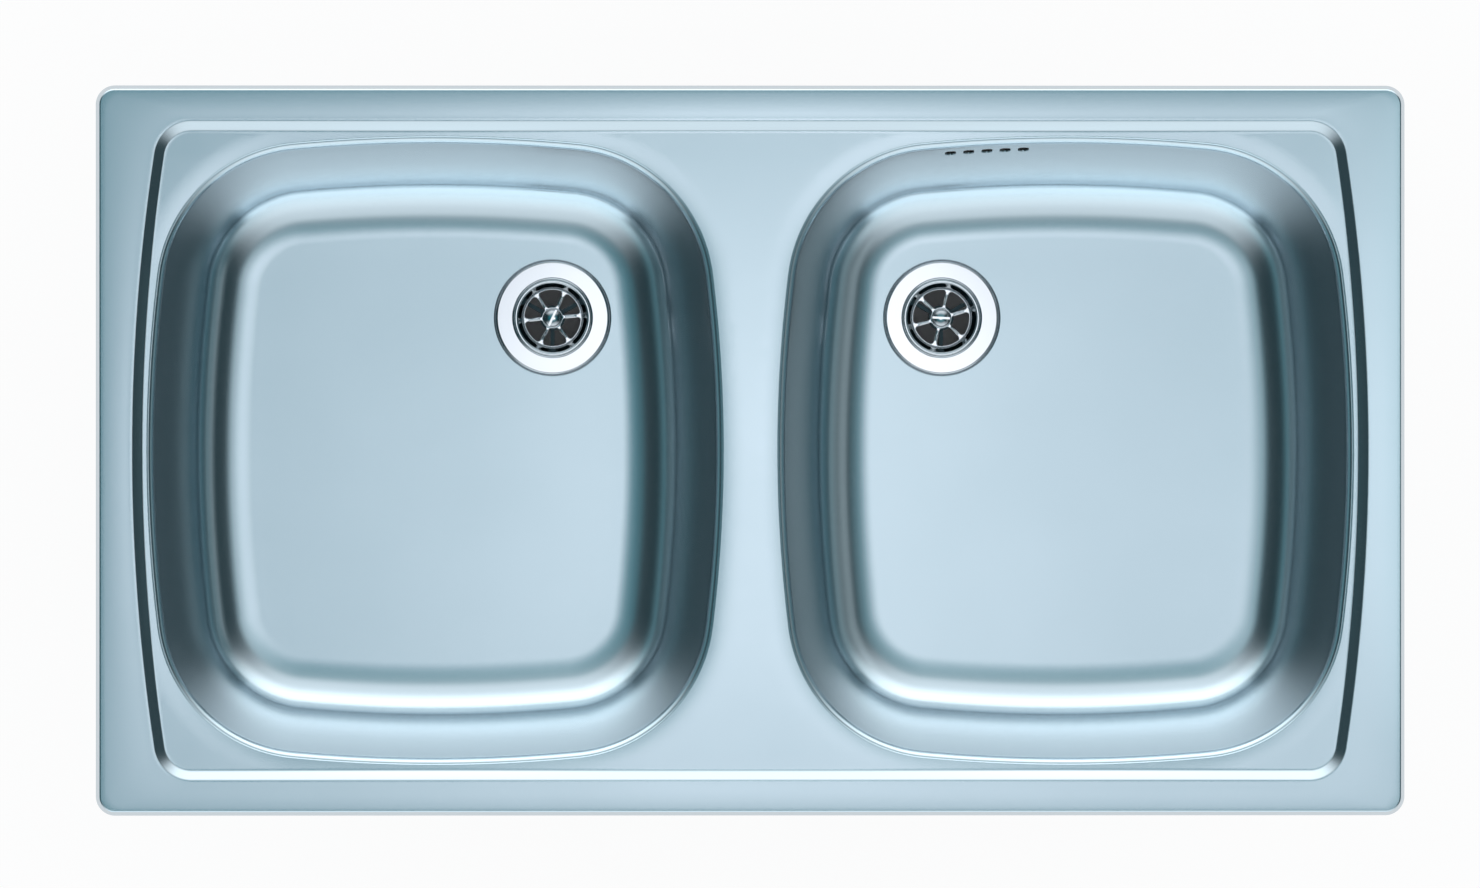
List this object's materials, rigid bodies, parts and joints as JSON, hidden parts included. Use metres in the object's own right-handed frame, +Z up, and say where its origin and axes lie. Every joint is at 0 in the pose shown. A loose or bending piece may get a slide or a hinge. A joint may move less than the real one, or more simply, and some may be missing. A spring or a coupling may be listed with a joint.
{
  "type": "double-bowl kitchen sink",
  "caption": "Inset stainless steel sink with a pair of equal bowls, spoked drain grids, overflow, waste bodies, rim seal and screw clamps that grip the worktop.",
  "frame": {"origin": "middle of the rim seal's lower face, in the plane of the worktop's top", "axes": "+X right along the width, +Y to the back where the drains lie, +Z up"},
  "size_m": [0.78, 0.435, 0.2158],
  "materials": {
    "deck_steel": "satin rolled",
    "bowl_steel": "satin drawn",
    "polished_steel": "polished",
    "zinc_steel": "zinc plated",
    "brass": "turned",
    "white_plastic": "moulded",
    "seal_rubber": "plain",
    "foam_seal": "closed-cell foam",
    "sound_pad": "pressed bitumen felt"
  },
  "bodies": {
    "sink": {"deck": "deck_steel", "left_bowl": "bowl_steel", "right_bowl": "bowl_steel", "rim_seal": "foam_seal", "left_sound_pad": "sound_pad", "right_sound_pad": "sound_pad", "left_strainer_flange": "polished_steel", "left_flange_seal": "seal_rubber", "left_body_seal": "seal_rubber", "left_waste_body": "white_plastic", "left_drain_screw": "polished_steel", "left_insert_nut": "brass", "right_strainer_flange": "polished_steel", "right_flange_seal": "seal_rubber", "right_body_seal": "seal_rubber", "right_waste_body": "white_plastic", "right_drain_screw": "polished_steel", "right_insert_nut": "brass", "overflow_housing": "white_plastic", "overflow_seal": "seal_rubber", "overflow_studs": "zinc_steel", "overflow_nuts": "zinc_steel", "clamp_brackets": "zinc_steel"},
    "leg_1": {"clamp_leg_1": "zinc_steel"},
    "claw_1": {"clamp_claw_1": "zinc_steel"},
    "screw_1": {"clamp_screw_1": "zinc_steel"},
    "leg_2": {"clamp_leg_2": "zinc_steel"},
    "claw_2": {"clamp_claw_2": "zinc_steel"},
    "screw_2": {"clamp_screw_2": "zinc_steel"},
    "leg_3": {"clamp_leg_3": "zinc_steel"},
    "claw_3": {"clamp_claw_3": "zinc_steel"},
    "screw_3": {"clamp_screw_3": "zinc_steel"},
    "leg_4": {"clamp_leg_4": "zinc_steel"},
    "claw_4": {"clamp_claw_4": "zinc_steel"},
    "screw_4": {"clamp_screw_4": "zinc_steel"},
    "leg_5": {"clamp_leg_5": "zinc_steel"},
    "claw_5": {"clamp_claw_5": "zinc_steel"},
    "screw_5": {"clamp_screw_5": "zinc_steel"},
    "leg_6": {"clamp_leg_6": "zinc_steel"},
    "claw_6": {"clamp_claw_6": "zinc_steel"},
    "screw_6": {"clamp_screw_6": "zinc_steel"},
    "leg_7": {"clamp_leg_7": "zinc_steel"},
    "claw_7": {"clamp_claw_7": "zinc_steel"},
    "screw_7": {"clamp_screw_7": "zinc_steel"},
    "leg_8": {"clamp_leg_8": "zinc_steel"},
    "claw_8": {"clamp_claw_8": "zinc_steel"},
    "screw_8": {"clamp_screw_8": "zinc_steel"}
  },
  "joints": [
    {"name": "leg_1_swing", "type": "hinge", "parent": "sink", "child": "leg_1", "pos_m": [-0.25, 0.2015, -0.005], "axis": [-1, 0, 0], "range_deg": [0, 18]},
    {"name": "claw_1_climb", "type": "slide", "parent": "leg_1", "child": "claw_1", "axis": [0, 0, 1], "range_m": [0, 0.0128]},
    {"name": "screw_1_turn", "type": "hinge", "parent": "claw_1", "child": "screw_1", "pos_m": [-0.25, 0.19825, -0.0483], "axis": [0, 0, 1], "range_deg": [0, 5760]},
    {"name": "leg_2_swing", "type": "hinge", "parent": "sink", "child": "leg_2", "pos_m": [0, 0.2015, -0.005], "axis": [-1, 0, 0], "range_deg": [0, 18]},
    {"name": "claw_2_climb", "type": "slide", "parent": "leg_2", "child": "claw_2", "axis": [0, 0, 1], "range_m": [0, 0.0128]},
    {"name": "screw_2_turn", "type": "hinge", "parent": "claw_2", "child": "screw_2", "pos_m": [0, 0.19825, -0.0483], "axis": [0, 0, 1], "range_deg": [0, 5760]},
    {"name": "leg_3_swing", "type": "hinge", "parent": "sink", "child": "leg_3", "pos_m": [0.25, 0.2015, -0.005], "axis": [-1, 0, 0], "range_deg": [0, 18]},
    {"name": "claw_3_climb", "type": "slide", "parent": "leg_3", "child": "claw_3", "axis": [0, 0, 1], "range_m": [0, 0.0128]},
    {"name": "screw_3_turn", "type": "hinge", "parent": "claw_3", "child": "screw_3", "pos_m": [0.25, 0.19825, -0.0483], "axis": [0, 0, 1], "range_deg": [0, 5760]},
    {"name": "leg_4_swing", "type": "hinge", "parent": "sink", "child": "leg_4", "pos_m": [0.374, 0, -0.005], "axis": [0, 1, 0], "range_deg": [0, 18]},
    {"name": "claw_4_climb", "type": "slide", "parent": "leg_4", "child": "claw_4", "axis": [0, 0, 1], "range_m": [0, 0.0128]},
    {"name": "screw_4_turn", "type": "hinge", "parent": "claw_4", "child": "screw_4", "pos_m": [0.37075, 0, -0.0483], "axis": [0, 0, 1], "range_deg": [0, 5760]},
    {"name": "leg_5_swing", "type": "hinge", "parent": "sink", "child": "leg_5", "pos_m": [0.25, -0.2015, -0.005], "axis": [1, 0, 0], "range_deg": [0, 18]},
    {"name": "claw_5_climb", "type": "slide", "parent": "leg_5", "child": "claw_5", "axis": [0, 0, 1], "range_m": [0, 0.0128]},
    {"name": "screw_5_turn", "type": "hinge", "parent": "claw_5", "child": "screw_5", "pos_m": [0.25, -0.19825, -0.0483], "axis": [0, 0, 1], "range_deg": [0, 5760]},
    {"name": "leg_6_swing", "type": "hinge", "parent": "sink", "child": "leg_6", "pos_m": [0, -0.2015, -0.005], "axis": [1, 0, 0], "range_deg": [0, 18]},
    {"name": "claw_6_climb", "type": "slide", "parent": "leg_6", "child": "claw_6", "axis": [0, 0, 1], "range_m": [0, 0.0128]},
    {"name": "screw_6_turn", "type": "hinge", "parent": "claw_6", "child": "screw_6", "pos_m": [0, -0.19825, -0.0483], "axis": [0, 0, 1], "range_deg": [0, 5760]},
    {"name": "leg_7_swing", "type": "hinge", "parent": "sink", "child": "leg_7", "pos_m": [-0.25, -0.2015, -0.005], "axis": [1, 0, 0], "range_deg": [0, 18]},
    {"name": "claw_7_climb", "type": "slide", "parent": "leg_7", "child": "claw_7", "axis": [0, 0, 1], "range_m": [0, 0.0128]},
    {"name": "screw_7_turn", "type": "hinge", "parent": "claw_7", "child": "screw_7", "pos_m": [-0.25, -0.19825, -0.0483], "axis": [0, 0, 1], "range_deg": [0, 5760]},
    {"name": "leg_8_swing", "type": "hinge", "parent": "sink", "child": "leg_8", "pos_m": [-0.374, 0, -0.005], "axis": [0, -1, 0], "range_deg": [0, 18]},
    {"name": "claw_8_climb", "type": "slide", "parent": "leg_8", "child": "claw_8", "axis": [0, 0, 1], "range_m": [0, 0.0128]},
    {"name": "screw_8_turn", "type": "hinge", "parent": "claw_8", "child": "screw_8", "pos_m": [-0.37075, 0, -0.0483], "axis": [0, 0, 1], "range_deg": [0, 5760]}
  ],
  "couplings": [
    {"joint": "screw_1_turn", "follows": "claw_1_climb", "rad_per_m": 7854},
    {"joint": "screw_2_turn", "follows": "claw_2_climb", "rad_per_m": 7854},
    {"joint": "screw_3_turn", "follows": "claw_3_climb", "rad_per_m": 7854},
    {"joint": "screw_4_turn", "follows": "claw_4_climb", "rad_per_m": 7854},
    {"joint": "screw_5_turn", "follows": "claw_5_climb", "rad_per_m": 7854},
    {"joint": "screw_6_turn", "follows": "claw_6_climb", "rad_per_m": 7854},
    {"joint": "screw_7_turn", "follows": "claw_7_climb", "rad_per_m": 7854},
    {"joint": "screw_8_turn", "follows": "claw_8_climb", "rad_per_m": 7854}
  ]
}
